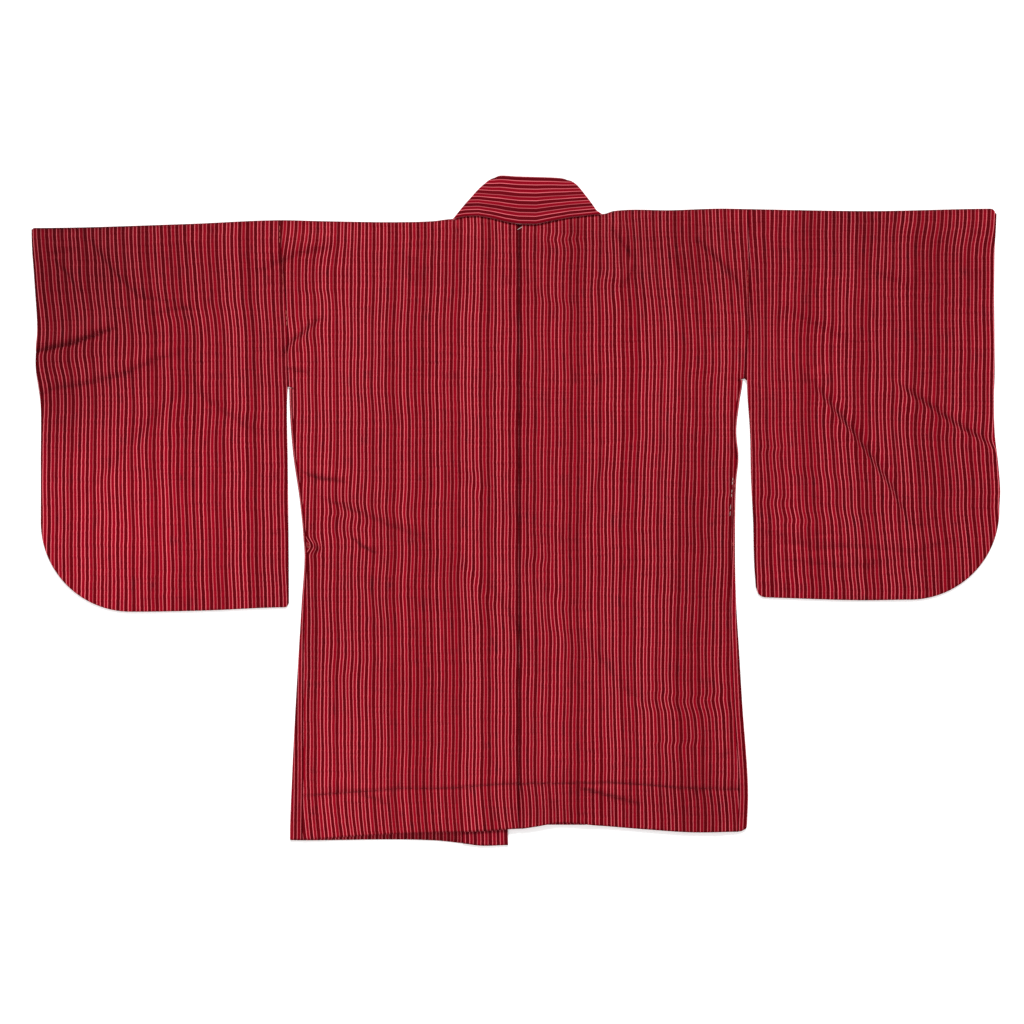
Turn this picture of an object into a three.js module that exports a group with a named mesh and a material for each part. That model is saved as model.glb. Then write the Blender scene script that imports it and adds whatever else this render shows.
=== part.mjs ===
// A haori laid out face down: its back is up, its sleeves are spread and its collar is opened upwards.
// Millimetres, +Z up. The collar points to +Y and the wearer's left is at -X.
// The origin is on the surface it lies on, in the middle of the garment.

import * as THREE from "three";

const { lerp, smoothstep } = THREE.MathUtils;

// Cloth
const CLOTH = 1.2; // one wall, the outer cloth with its backing
const AIR = 0.6; // between the two leaves of a folded piece
const TURN = 2; // in from a folded edge, where its leaves have parted
const SEAM_GAP = 0.3; // between neighbouring pieces
const LEAF_GAP = 0.3; // between a leaf and the collar strip under it

// Collar strip, doubled
const COLLAR_CLOTH = 2.6;
const COLLAR_TURN = 4.2; // along the strip, from a mitred fold to where its leaves have parted

// Body and sleeves
const BACK_SEAM_X = 3.8;
const CORNER_RADIUS = 115; // of a sleeve's outer bottom corner
const UNDERARM_STEP = 1.5; // height over which the edge moves from the armhole to the side seam
const GUSSET_DROP = 0.4; // of a gusset's top below the end of the armhole

// How finely each stretch is divided
const ARMHOLE_ROWS = 11;
const SKIRT_ROWS = 27;
const SLEEVE_ROWS = 14;
const CORNER_STEPS = 6;
const SLEEVE_COLUMNS = 11;
const BODY_COLUMNS = 10;
const COLLAR_CHAINS = 4;
const COLLAR_DOWN_STEPS = 5;
const PLAIN_STEPS = 3; // along the flat under leaves

// Height of the folds: how soon they rise from a closed edge, and how the cloth climbs the collar strip
const FOLD_RISE_LENGTH = 28;
const CLIMB_LENGTH = 28;
const SAG_SHARE = 0.4; // lost between the two collar strips

// The two sides. `out` is the distance from the middle plane, and each table runs along one edge.
const LEFT = {
  hand: -1,
  armholeEnd: 158.5,
  slitEnd: 135, // the cuff is open above this and sewn up below it
  corner: { out: 493, y: -14.3 },
  neckPoint: { out: 82, y: 373 },
  shoulder: [
    { out: 82, y: 373 },
    { out: 105, y: 370.6 },
    { out: 150, y: 369.3 },
    { out: 250, y: 370.6 },
    { out: 302, y: 371.8 },
    { out: 420, y: 367 },
    { out: 619.5, y: 361.8 },
  ],
  armhole: [
    { y: 158.5, out: 291.8 },
    { y: 248, out: 293 },
    { y: 320, out: 299 },
    { y: 372, out: 302 },
  ],
  sleeveInner: [
    { y: -124, out: 290.6 },
    { y: 60, out: 292 },
    { y: 140, out: 293 },
    { y: 158.5, out: 292.2 },
  ],
  cuff: [
    { y: -14.3, out: 608 },
    { y: 60, out: 608 },
    { y: 150, out: 609 },
    { y: 185, out: 614 },
    { y: 230, out: 612 },
    { y: 300, out: 616 },
    { y: 362, out: 619.5 },
  ],
  sleeveBottom: [
    { out: 290.6, y: -123.6 },
    { out: 400, y: -127.8 },
    { out: 493, y: -129.3 },
  ],
  sideFold: [
    { y: -422, out: 289.3 },
    { y: -345, out: 286.7 },
    { y: -243, out: 281.6 },
    { y: -115, out: 274 },
    { y: -58, out: 270.5 },
    { y: -38, out: 271.5 },
    { y: 13, out: 276.5 },
    { y: 77, out: 285.5 },
    { y: 157, out: 290 },
  ],
  gusset: [
    { y: -422, width: 16.6 },
    { y: -345, width: 15 },
    { y: -243, width: 10 },
    { y: -115, width: 4.5 },
    { y: 157, width: 4 },
  ],
  backHem: [
    { out: -3.8, y: -406.4 },
    { out: 46, y: -409.6 },
    { out: 148, y: -412.8 },
    { out: 214, y: -416.6 },
    { out: 273, y: -420.6 },
  ],
  frontHem: [
    { out: 10, y: -427.6 },
    { out: 46, y: -428.3 },
    { out: 68, y: -425.5 },
    { out: 104, y: -421.8 },
    { out: 273, y: -421.8 },
  ],
  collarHem: { seamOut: 68, freeOut: 10, y: -425.5 },
  collarCorner: { out: 32, y: 427.2 },
};

const RIGHT = {
  hand: 1,
  armholeEnd: 169,
  slitEnd: 150,
  corner: { out: 503.5, y: 1.1 },
  neckPoint: { out: 111.3, y: 379.5 },
  shoulder: [
    { out: 111.3, y: 379.5 },
    { out: 125, y: 383.4 },
    { out: 200, y: 384.6 },
    { out: 261, y: 386.6 },
    { out: 297, y: 386 },
    { out: 455, y: 383.5 },
    { out: 614.5, y: 386.5 },
  ],
  armhole: [
    { y: 169, out: 292 },
    { y: 232, out: 297 },
    { y: 387, out: 297 },
  ],
  sleeveInner: [
    { y: -111, out: 307.2 },
    { y: -63, out: 304.6 },
    { y: -12, out: 303.4 },
    { y: 40, out: 300.8 },
    { y: 100, out: 299.5 },
    { y: 169, out: 295.5 },
  ],
  cuff: [
    { y: 1.1, out: 618.5 },
    { y: 25, out: 619.5 },
    { y: 60, out: 617 },
    { y: 100, out: 612.5 },
    { y: 190, out: 611.8 },
    { y: 330, out: 611.8 },
    { y: 387, out: 614.5 },
  ],
  sleeveBottom: [
    { out: 307.2, y: -110.7 },
    { out: 350, y: -112 },
    { out: 440, y: -114.6 },
    { out: 503.5, y: -113.9 },
  ],
  sideFold: [
    { y: -411, out: 295.7 },
    { y: -358, out: 297 },
    { y: -243, out: 289.3 },
    { y: -178, out: 285.4 },
    { y: -115, out: 281.6 },
    { y: -44, out: 280.3 },
    { y: 40, out: 282 },
    { y: 65, out: 284.5 },
    { y: 103, out: 282 },
    { y: 141, out: 286.2 },
    { y: 168, out: 290 },
  ],
  gusset: [
    { y: -411, width: 12 },
    { y: -166, width: 9.6 },
    { y: -44, width: 4.5 },
    { y: 168, width: 4 },
  ],
  backHem: [
    { out: 3.8, y: -406.4 },
    { out: 24, y: -403.8 },
    { out: 56, y: -398.9 },
    { out: 107, y: -402.6 },
    { out: 171, y: -407.7 },
    { out: 223, y: -411 },
    { out: 285, y: -410.4 },
  ],
  frontHem: [
    { out: 30, y: -401.5 },
    { out: 285, y: -402.5 },
  ],
  collarHem: { seamOut: 88.3, freeOut: 30.7, y: -401.5 },
  collarCorner: { out: 67, y: 424.6 },
};

// Where the collar meets the back's neck edge, and the collar's free edge above it
const NECK_SEAM = [
  { x: -82, y: 373 },
  { x: -65, y: 376.3 },
  { x: -48, y: 377 },
  { x: -31, y: 374 },
  { x: -13.5, y: 369.5 },
  { x: 3.8, y: 366.7 },
  { x: 25.5, y: 366.3 },
  { x: 47, y: 370.8 },
  { x: 68.5, y: 375 },
  { x: 90, y: 377.3 },
  { x: 111.3, y: 379.5 },
];
const COLLAR_TOP = [
  { x: -32, y: 427.2 },
  { x: -20, y: 428.3 },
  { x: 0, y: 427.2 },
  { x: 45, y: 425.8 },
  { x: 67, y: 424.6 },
];

// The largest folds of the upper leaves: how high each rises, how far it reaches to a side, and its line
const FOLDS = [
  { rise: 4.5, reach: 12, line: [[-612, 203], [-565, 214], [-509, 234]] },
  { rise: 3.0, reach: 16, line: [[-610, 148], [-552, 177], [-493, 220], [-426, 248], [-301, 261]] },
  { rise: 2.2, reach: 13, line: [[-545, 330], [-516, 307], [-483, 273], [-419, 260]] },
  { rise: 1.8, reach: 12, line: [[-591, 321], [-572, 301], [-558, 278]] },
  { rise: 2.0, reach: 18, line: [[-410, 173], [-485, 94], [-568, -2]] },
  { rise: 2.0, reach: 16, line: [[-430, 193], [-399, 143], [-326, 94]] },
  { rise: 2.4, reach: 14, line: [[-334, 303], [-277, 328], [-225, 335]] },
  { rise: 2.8, reach: 13, line: [[-292, 202], [-278, 223], [-247, 257]] },
  { rise: 4.2, reach: 15, line: [[383, 157], [435, 94], [476, 35], [509, -25]] },
  { rise: 3.2, reach: 14, line: [[460, 168], [509, 144], [561, 111], [611, 83]] },
  { rise: 2.0, reach: 18, line: [[334, 261], [435, 211]] },
  { rise: 1.6, reach: 13, line: [[460, 303], [509, 282]] },
  { rise: 1.8, reach: 13, line: [[325, -35], [385, -48], [450, -45]] },
  { rise: 2.6, reach: 12, line: [[-262, 46], [-225, 38], [-180, 30]] },
  { rise: 2.6, reach: 16, line: [[-250, 16], [-192, -7], [-109, -40]] },
  { rise: 2.0, reach: 18, line: [[-192, -74], [-168, -157], [-192, -225]] },
  { rise: 2.4, reach: 18, line: [[-42, -83], [8, -157], [26, -207]] },
  { rise: 2.0, reach: 16, line: [[76, -149], [142, -232], [175, -249]] },
  { rise: 1.8, reach: 15, line: [[117, 77], [92, -7], [83, -40]] },
  { rise: 1.8, reach: 16, line: [[205, -57], [201, -157]] },
  { rise: 2.6, reach: 14, line: [[125, 346], [151, 320], [163, 261], [151, 185]] },
  { rise: 2.2, reach: 13, line: [[234, 339], [256, 313], [272, 291]] },
  { rise: 1.8, reach: 14, line: [[-138, 336], [-129, 286]] },
  { rise: 2.4, reach: 13, line: [[76, -353], [114, -364], [159, -374]] },
  { rise: 2.0, reach: 13, line: [[-209, -358], [-159, -378]] },
];

const UPPER_REST = CLOTH + AIR; // underside of an upper leaf that lies on an under leaf
const EDGE_HEIGHT = UPPER_REST - AIR / 2; // of the outermost line of a folded edge
const STRIP_CLIMB = COLLAR_CLOTH + LEAF_GAP + 0.2 - UPPER_REST; // what the back rises over the collar strip
const COLLAR_UPPER = COLLAR_CLOTH + LEAF_GAP; // underside of the collar round the neck

const DYED_CLOTH = { color: 0x6e1422, roughness: 0.8, metalness: 0 };
const SLEEVE_CLOTH = { color: 0x661520, roughness: 0.8, metalness: 0 };

// A curve through the rows of a table, which run in rising order of `key`.
function follow(rows, key, value, Curve = THREE.CubicInterpolant) {
  const keys = rows.map((row) => row[key]);
  const curve = new Curve(keys, rows.map((row) => row[value]), 1);
  return (at) => curve.evaluate(at)[0];
}

// The back and the collar both have a place at each row of the neck seam, with straight edges between.
const neckSeam = follow(NECK_SEAM, "x", "y", THREE.LinearInterpolant);
const collarTop = follow(COLLAR_TOP, "x", "y");

// Distance in plan from a place to a line of points.
function distanceTo(line, x, y) {
  const place = new THREE.Vector3(x, y, 0);
  const nearest = new THREE.Vector3();
  let least = Infinity;
  for (let i = 1; i < line.length; i += 1) {
    const stretch = new THREE.Line3(
      new THREE.Vector3(...line[i - 1], 0),
      new THREE.Vector3(...line[i], 0),
    );
    stretch.closestPointToPoint(place, true, nearest);
    least = Math.min(least, nearest.distanceTo(place));
  }
  return least;
}

// How high the folds lift the upper cloth. Crossing folds blend and don't pile up.
function foldHeight(x, y) {
  const sumOfSquares = FOLDS.reduce((sum, { rise, reach, line }) => {
    const across = distanceTo(line, x, y) / reach;
    return sum + (rise * Math.exp(-across * across)) ** 2;
  }, 0);
  return Math.sqrt(sumOfSquares);
}

// The two edges of the collar strip that lies below the back, at height y.
function stripEdges(side, y) {
  const share = (y - side.collarHem.y) / (side.neckPoint.y - side.collarHem.y);
  return {
    seam: lerp(side.collarHem.seamOut, side.neckPoint.out, share),
    free: lerp(side.collarHem.freeOut, side.collarCorner.out, share),
  };
}

// The share of STRIP_CLIMB by which the back stands on the collar strips.
function stripShare(x, y) {
  const side = x < BACK_SEAM_X ? LEFT : RIGHT;
  const out = x * side.hand;
  const { seam, free } = stripEdges(side, y);
  const climb = 1 - smoothstep(out - seam, 0, CLIMB_LENGTH);
  const sag = smoothstep(free - out, 0, CLIMB_LENGTH);
  return climb * (1 - SAG_SHARE * sag);
}

// A sheet of cloth with an outer and an inner face, drawn for one side of the garment in `out`, y and z.
class Sheet {
  constructor(hand) {
    this.hand = hand;
    this.outer = [];
    this.inner = [];
    this.triangles = [];
  }

  place(outer, inner) {
    this.outer.push(outer);
    this.inner.push(inner);
    return this.outer.length - 1;
  }

  // On an under leaf, which lies flat on the surface.
  under(out, y, thickness = CLOTH) {
    return this.place([out, y, 0], [out, y, thickness]);
  }

  // On an upper leaf. `rise` is the share of the folds' height that it has.
  upper(out, y, rise) {
    const x = out * this.hand;
    const rest = UPPER_REST + STRIP_CLIMB * stripShare(x, y) + rise * foldHeight(x, y);
    return this.place([out, y, rest + CLOTH], [out, y, rest]);
  }

  // On a closed edge, with the direction into the cloth. Near the neck the edge stands on the collar strip.
  edge(out, y, inwards) {
    const height = EDGE_HEIGHT + (STRIP_CLIMB + AIR) * stripShare(out * this.hand, y);
    return this.place(
      [out, y, height],
      [out + CLOTH * inwards[0], y + CLOTH * inwards[1], height],
    );
  }

  // Joins two chains of places that run side by side. The outer face looks at the one who has
  // `left` on the left hand and `right` on the right hand, where the chains run towards that person.
  join(left, right) {
    const progress = [left, right].map((chain) => {
      const lengths = [0];
      for (let i = 1; i < chain.length; i += 1) {
        const from = new THREE.Vector3(...this.outer[chain[i - 1]]);
        lengths.push(lengths[i - 1] + from.distanceTo(new THREE.Vector3(...this.outer[chain[i]])));
      }
      return lengths.map((length) => length / lengths.at(-1));
    });
    const even = left.length === right.length;
    let i = 0;
    let j = 0;
    while (i < left.length - 1 || j < right.length - 1) {
      const leftFirst = even ? i === j : progress[0][i + 1] <= progress[1][j + 1];
      if (j === right.length - 1 || (i < left.length - 1 && leftFirst)) {
        this.triangles.push([left[i], left[i + 1], right[j]]);
        i += 1;
      } else {
        this.triangles.push([left[i], right[j + 1], right[j]]);
        j += 1;
      }
    }
  }

  joinAll(chains) {
    for (let i = 1; i < chains.length; i += 1) {
      this.join(chains[i - 1], chains[i]);
    }
  }

  // The closed wall: outer face, inner face, and a lip along every open edge.
  wall(name, finish) {
    const count = this.outer.length;
    const triangles = this.triangles.filter(([a, b, c]) => a !== b && b !== c && c !== a);
    const edges = new Set(triangles.flatMap(([a, b, c]) => [`${a} ${b}`, `${b} ${c}`, `${c} ${a}`]));
    const faces = triangles.flatMap(([a, b, c]) => [
      [a, b, c],
      [c + count, b + count, a + count],
    ]);
    for (const edge of edges) {
      const [a, b] = edge.split(" ").map(Number);
      if (!edges.has(`${b} ${a}`)) {
        faces.push([b, a, a + count], [b, a + count, b + count]);
      }
    }
    const index = this.hand > 0 ? faces.flat() : faces.map((face) => face.toReversed()).flat();
    const points = [...this.outer, ...this.inner].flatMap(([out, y, z]) => [out * this.hand, y, z]);
    const geometry = new THREE.BufferGeometry();
    geometry.setAttribute("position", new THREE.Float32BufferAttribute(points, 3));
    geometry.setIndex(index);
    geometry.computeVertexNormals();
    const mesh = new THREE.Mesh(geometry, new THREE.MeshStandardMaterial(finish));
    mesh.name = name;
    return mesh;
  }
}

const steps = (count) => Array.from({ length: count + 1 }, (_, i) => i / count);

// Edge curves of one side, and the heights of the rows that its pieces share at their seams.
function sideCurves(side) {
  const shoulder = follow(side.shoulder, "out", "y");
  const armhole = follow(side.armhole, "y", "out");
  const sideFold = follow(side.sideFold, "y", "out");
  const gussetWidth = follow(side.gusset, "y", "width");
  const armholeTop = armhole(side.armhole.at(-1).y);
  const turnShare = TURN / (shoulder(armholeTop) - side.armholeEnd);
  const armShares = [0, turnShare, ...steps(ARMHOLE_ROWS).slice(1)];
  return {
    shoulder,
    armhole,
    armholeTop,
    armShares,
    sideFold,
    sideSeam: (y) => sideFold(y) - gussetWidth(y),
    sleeveInner: follow(side.sleeveInner, "y", "out"),
    cuff: follow(side.cuff, "y", "out"),
    sleeveBottom: follow(side.sleeveBottom, "out", "y"),
    backHem: follow(side.backHem, "out", "y"),
    frontHem: follow(side.frontHem, "out", "y"),
    backHemSide: side.backHem.at(-1).y,
    frontHemSide: side.frontHem.at(-1).y,
    armRowY: (share) => lerp(shoulder(armholeTop), side.armholeEnd, share),
    skirtTop: side.armholeEnd - UNDERARM_STEP,
  };
}

// One half of the body: a length of cloth that is folded over the shoulder, front below and back above.
function bodyHalf(side, name) {
  const curves = sideCurves(side);
  const sheet = new Sheet(side.hand);
  const centre = side.hand * BACK_SEAM_X + SEAM_GAP / 2;
  const neck = side.neckPoint.out + SEAM_GAP / 2;
  const armSide = (y) => curves.armhole(y) - SEAM_GAP / 2;
  const skirtSide = (y) => curves.sideSeam(y) - SEAM_GAP / 2;
  const collarSide = (y) => stripEdges(side, y).seam + SEAM_GAP / 2;
  const armTop = armSide(curves.armRowY(0));
  const neckShare = (neck - centre) / (armTop - centre);

  const backColumn = (column, fold) => {
    const topOut = lerp(centre, armTop, column);
    const topY = fold === null ? neckSeam(topOut * side.hand) - SEAM_GAP / 2 : curves.shoulder(topOut);
    const hemY = curves.backHem(lerp(centre, skirtSide(curves.backHemSide), column));
    const onBack = (y, edgeOut) => {
      const out = lerp(centre, edgeOut, column);
      const fromSide = edgeOut - out + Math.max(0, y - side.armholeEnd);
      const rise = smoothstep(Math.min(topY - y, fromSide), 0, FOLD_RISE_LENGTH);
      return sheet.upper(out, y, rise);
    };
    const armPlaces = curves.armShares.map((share) => {
      const y = lerp(topY, side.armholeEnd, share);
      return onBack(y, armSide(curves.armRowY(share)));
    });
    const skirtPlaces = steps(SKIRT_ROWS).map((share) => {
      const y = lerp(curves.skirtTop, hemY, share);
      return onBack(y, skirtSide(lerp(curves.skirtTop, curves.backHemSide, share)));
    });
    return fold === null ? [...armPlaces, ...skirtPlaces] : [fold, ...armPlaces.slice(1), ...skirtPlaces];
  };

  const frontColumn = (column, fold) => {
    const onSide = column === 1;
    const topY = curves.shoulder(lerp(neck, armTop, column));
    const hemOut = lerp(collarSide(curves.frontHemSide), skirtSide(curves.frontHemSide), column);
    const armShares = onSide ? curves.armShares.slice(1) : [curves.armShares[1], 1];
    const armPlaces = armShares.map((share) => {
      const y = lerp(topY, side.armholeEnd, share);
      return sheet.under(lerp(collarSide(y), armSide(y), column), y);
    });
    const skirtPlaces = steps(onSide ? SKIRT_ROWS : PLAIN_STEPS).map((share) => {
      const y = lerp(curves.skirtTop, curves.frontHem(hemOut), share);
      const edgeOut = skirtSide(lerp(curves.skirtTop, curves.frontHemSide, share));
      return sheet.under(lerp(collarSide(y), edgeOut, column), y);
    });
    return [fold, ...armPlaces, ...skirtPlaces];
  };

  const frontShares = steps(BODY_COLUMNS);
  const folds = frontShares.map((share) => {
    const out = lerp(neck, armTop, share);
    const atNeck = share === 0 ? SEAM_GAP / 2 : 0;
    return sheet.edge(out, curves.shoulder(out) - atNeck, [0, -1]);
  });
  const neckOuts = NECK_SEAM.map(({ x }) => x * side.hand)
    .filter((out) => out > centre && out < side.neckPoint.out)
    .sort((a, b) => a - b);
  const neckColumns = [centre, ...neckOuts].map((out) => backColumn((out - centre) / (armTop - centre), null));
  const backColumns = frontShares.map((share, i) => backColumn(lerp(neckShare, 1, share), folds[i]));
  const frontColumns = frontShares.map((share, i) => frontColumn(share, folds[i]));
  sheet.joinAll([...neckColumns, ...backColumns]);
  sheet.joinAll(frontColumns.toReversed());
  return sheet.wall(name, DYED_CLOTH);
}

// The columns of a sleeve, from its inner edge to the cuff. Each ends below on a sewn edge, along the
// straight bottom or round the corner, and `across` is its share of the way to the corner.
function sleeveColumns(side, curves, innerOut) {
  const { corner } = side;
  const straight = steps(SLEEVE_COLUMNS).map((across) => {
    const out = lerp(innerOut, corner.out, across);
    return { across, out, y: curves.sleeveBottom(out), inwards: [0, 1] };
  });
  const round = steps(CORNER_STEPS).slice(1).map((share) => {
    const angle = (share * Math.PI) / 2;
    const inwards = [-Math.sin(angle), Math.cos(angle)];
    return {
      across: 1,
      out: corner.out - CORNER_RADIUS * inwards[0],
      y: corner.y - CORNER_RADIUS * inwards[1],
      inwards,
    };
  });
  return [...straight, ...round].map((end) => ({
    ...end,
    turnOut: end.out + TURN * end.inwards[0],
    turnY: end.y + TURN * end.inwards[1],
  }));
}

// A sleeve: a bag with its fold along the top, sewn along the bottom and the lower cuff.
function sleeve(side, name) {
  const curves = sideCurves(side);
  const sheet = new Sheet(side.hand);
  const { corner } = side;
  const armSide = (y) => curves.armhole(y) + SEAM_GAP / 2;
  const innerSide = (y) => curves.sleeveInner(y) + SEAM_GAP / 2;
  const columns = sleeveColumns(side, curves, innerSide(side.sleeveInner[0].y));
  const cuff = columns.length - 1;

  // Distance across of column i at height y. The last but one runs along the cuff and bends into the corner.
  const columnOut = (i, y, edgeOut) => {
    const { across, turnOut, turnY } = columns[i];
    if (i === cuff) {
      return curves.cuff(y);
    }
    if (i === cuff - 1) {
      const bend = curves.cuff(turnY) - TURN - turnOut;
      return curves.cuff(y) - TURN - bend * (1 - smoothstep(y, turnY, turnY + CORNER_RADIUS));
    }
    return across === 1 ? turnOut : lerp(edgeOut, corner.out, across);
  };

  const rise = (out, y) => {
    const inCorner = out > corner.out && y < corner.y;
    const fromBottom = inCorner
      ? CORNER_RADIUS - Math.hypot(out - corner.out, y - corner.y)
      : y - curves.sleeveBottom(out);
    const fromCuff = curves.cuff(y) - out + Math.max(0, y - side.slitEnd);
    const fromTop = curves.shoulder(out) - y;
    return smoothstep(Math.min(fromTop, fromBottom, fromCuff), 0, FOLD_RISE_LENGTH);
  };

  const upperChains = [];
  const underChains = [];
  columns.forEach((column, i) => {
    const topOut = columnOut(i, curves.armRowY(0), armSide(curves.armRowY(0)));
    const topY = curves.shoulder(topOut);
    const bottomY = i === cuff ? column.y : column.turnY;
    const armRows = curves.armShares.slice(1).map((share) => {
      const y = lerp(topY, side.armholeEnd, share);
      return { out: columnOut(i, y, armSide(y)), y, plain: share === 1 || share === curves.armShares[1] };
    });
    const lowerRows = steps(SLEEVE_ROWS).map((share, row) => {
      const y = lerp(curves.skirtTop, bottomY, share);
      return { out: columnOut(i, y, innerSide(y)), y, plain: row % PLAIN_STEPS === 0 || share === 1 };
    });
    const fold = sheet.edge(topOut, topY, [0, -1]);
    const upper = [fold];
    const under = [fold];
    for (const { out, y, plain } of [...armRows, ...lowerRows]) {
      if (i === cuff && y <= side.slitEnd) {
        upper.push(sheet.edge(out, y, column.inwards));
        under.push(upper.at(-1));
      } else {
        upper.push(sheet.upper(out, y, rise(out, y)));
        if (plain || i === 0 || i === cuff) {
          under.push(sheet.under(out, y));
        }
      }
    }
    if (i < cuff) {
      upper.push(sheet.edge(column.out, column.y, column.inwards));
      under.push(upper.at(-1));
    }
    upperChains.push(upper);
    underChains.push(under);
  });
  sheet.joinAll(upperChains);
  sheet.joinAll(underChains.toReversed());
  return sheet.wall(name, SLEEVE_CLOTH);
}

// A side gusset, folded lengthwise: its edges are sewn to the back above and to the front below.
function gusset(side, name) {
  const curves = sideCurves(side);
  const sheet = new Sheet(side.hand);
  const seam = (y) => curves.sideSeam(y) + SEAM_GAP / 2;
  const chains = [[], [], [], [], []];
  for (const share of steps(SKIRT_ROWS)) {
    const drop = share === 0 ? GUSSET_DROP : 0;
    const backY = lerp(curves.skirtTop, curves.backHemSide, share) - drop;
    const frontY = lerp(curves.skirtTop, curves.frontHemSide, share) - drop;
    const foldY = (backY + frontY) / 2;
    const foldOut = curves.sideFold(foldY);
    chains[0].push(sheet.upper(seam(backY), backY, 0));
    chains[1].push(sheet.upper(foldOut - TURN, backY, 0));
    chains[2].push(sheet.edge(foldOut, foldY, [-1, 0]));
    chains[3].push(sheet.under(foldOut - TURN, frontY));
    chains[4].push(sheet.under(seam(frontY), frontY));
  }
  sheet.joinAll(chains);
  return sheet.wall(name, DYED_CLOTH);
}

// The collar: up the left front edge, over a mitred fold, round the neck, over another and down the right.
function collar(name) {
  const sheet = new Sheet(1);

  // One line along the strip below the neck, at a share of its width from the seam to the free edge
  const stripLine = (side, share) => ({
    hand: side.hand,
    neckX: lerp(side.neckPoint.out - SEAM_GAP / 2, side.collarCorner.out, share) * side.hand,
    neckY: lerp(side.neckPoint.y + SEAM_GAP / 2, side.collarCorner.y, share),
    hemX: lerp(side.collarHem.seamOut - SEAM_GAP / 2, side.collarHem.freeOut, share) * side.hand,
    hemY: follow(side.frontHem, "out", "y")(lerp(side.collarHem.seamOut, side.collarHem.freeOut, share)),
  });
  const down = ({ neckX, neckY, hemX, hemY }) =>
    steps(COLLAR_DOWN_STEPS).map((along) => {
      const y = lerp(neckY - COLLAR_TURN, hemY, along);
      const x = lerp(neckX, hemX, (neckY - y) / (neckY - hemY));
      return sheet.under(x, y, COLLAR_CLOTH);
    });
  const mitre = ({ hand, neckX, neckY }, share) => {
    const height = COLLAR_CLOTH + LEAF_GAP / 2;
    const innerX = neckX - hand * COLLAR_CLOTH * Math.SQRT1_2;
    const seamY = neckSeam(innerX) + SEAM_GAP / 2;
    const innerY = share === 0 ? seamY : neckY - COLLAR_CLOTH * Math.SQRT1_2;
    return sheet.place([neckX, neckY, height], [innerX, innerY, height]);
  };

  const chains = steps(COLLAR_CHAINS).map((share) => {
    const left = stripLine(LEFT, share);
    const right = stripLine(RIGHT, share);
    const seamRows = NECK_SEAM.slice(1, -1).map((row) => {
      const along = (row.x - NECK_SEAM[0].x) / (NECK_SEAM.at(-1).x - NECK_SEAM[0].x);
      return share === 0 ? row.x : lerp(left.neckX, right.neckX, along);
    });
    const across = [left.neckX + COLLAR_TURN, ...seamRows, right.neckX - COLLAR_TURN].map((x) => {
      const y = lerp(neckSeam(x) + SEAM_GAP / 2, collarTop(x), share);
      return sheet.place([x, y, COLLAR_UPPER + COLLAR_CLOTH], [x, y, COLLAR_UPPER]);
    });
    return [...down(left).toReversed(), mitre(left, share), ...across, mitre(right, share), ...down(right)];
  });
  sheet.joinAll(chains);
  return sheet.wall(name, DYED_CLOTH);
}

const haori = new THREE.Group();
haori.add(
  bodyHalf(LEFT, "body_left"),
  bodyHalf(RIGHT, "body_right"),
  sleeve(LEFT, "sleeve_left"),
  sleeve(RIGHT, "sleeve_right"),
  gusset(LEFT, "machi_left"),
  gusset(RIGHT, "machi_right"),
  collar("collar"),
);

export default haori;
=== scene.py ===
import math

import bmesh
import bpy
import numpy as np
from mathutils import Matrix, Vector
from mathutils.bvhtree import BVHTree


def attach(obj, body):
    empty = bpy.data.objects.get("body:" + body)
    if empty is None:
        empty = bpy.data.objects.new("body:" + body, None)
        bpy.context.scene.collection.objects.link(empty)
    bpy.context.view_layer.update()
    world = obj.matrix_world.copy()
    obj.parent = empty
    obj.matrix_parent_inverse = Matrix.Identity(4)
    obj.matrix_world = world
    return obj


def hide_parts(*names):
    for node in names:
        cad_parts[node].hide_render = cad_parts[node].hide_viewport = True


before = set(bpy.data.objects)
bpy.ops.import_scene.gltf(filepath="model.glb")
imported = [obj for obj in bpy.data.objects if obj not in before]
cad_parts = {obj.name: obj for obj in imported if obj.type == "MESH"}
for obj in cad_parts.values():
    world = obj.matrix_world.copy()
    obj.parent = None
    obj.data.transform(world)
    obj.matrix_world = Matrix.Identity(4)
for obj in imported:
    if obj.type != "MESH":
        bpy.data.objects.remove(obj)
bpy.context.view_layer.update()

# A striped haori laid out face down: back up, sleeves spread, collar opened upwards.
# Tables and shapes are in millimetres, as the garment is measured.
# `out` is the distance from the middle plane, and `hand` its sign on a side.
# A table of an edge has rows of (key, value), and its comment names the two.
MM = 0.001
MERGE = 0.02 * MM

# Cloth and seams
CLOTH = 1.2
AIR = 0.6  # between the two leaves of a folded piece
BACK_SEAM_X = 3.8
CORNER_RADIUS = 115  # of a sleeve's bag
UNDERARM_STEP = 1.5  # from the armhole's end down to the skirt's start
SEAM_OVERRUN = 4  # how far below the armhole's end its seam still dips
FOLD_RISE_LENGTH = 28  # over which the folds fade in from an edge
CLIMB_LENGTH = 28  # over which the back comes down beside a strip
SAG_SHARE = 0.4  # how much of its height over the strips the back loses between them
HEM_RISE = 0.5  # how much higher the back lies where its hem is turned up
HEM_RISE_LENGTH = 5
GROOVE_DEPTH = 0.5  # of the turn-up's sewing
GROOVE_WIDTH = 1.8
SLEEVE_DROP = 125  # of a sleeve's bottom below the middle of the garment
WIDTH_HEIGHT = 60  # where a sleeve's width is measured
THREAD_TOP = 200  # how far above the underarm a sleeve's straight line of thread starts
UNDERARM_SPREAD = 6  # the step at the underarm has faded out a sixth of the way to the cuff
SLIT_RISE = 14  # the height over which the sewn cuff opens
HEM_CORNER_POWER = 40  # of the share of a gusset's length, so that only its last rows are rounded

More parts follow.
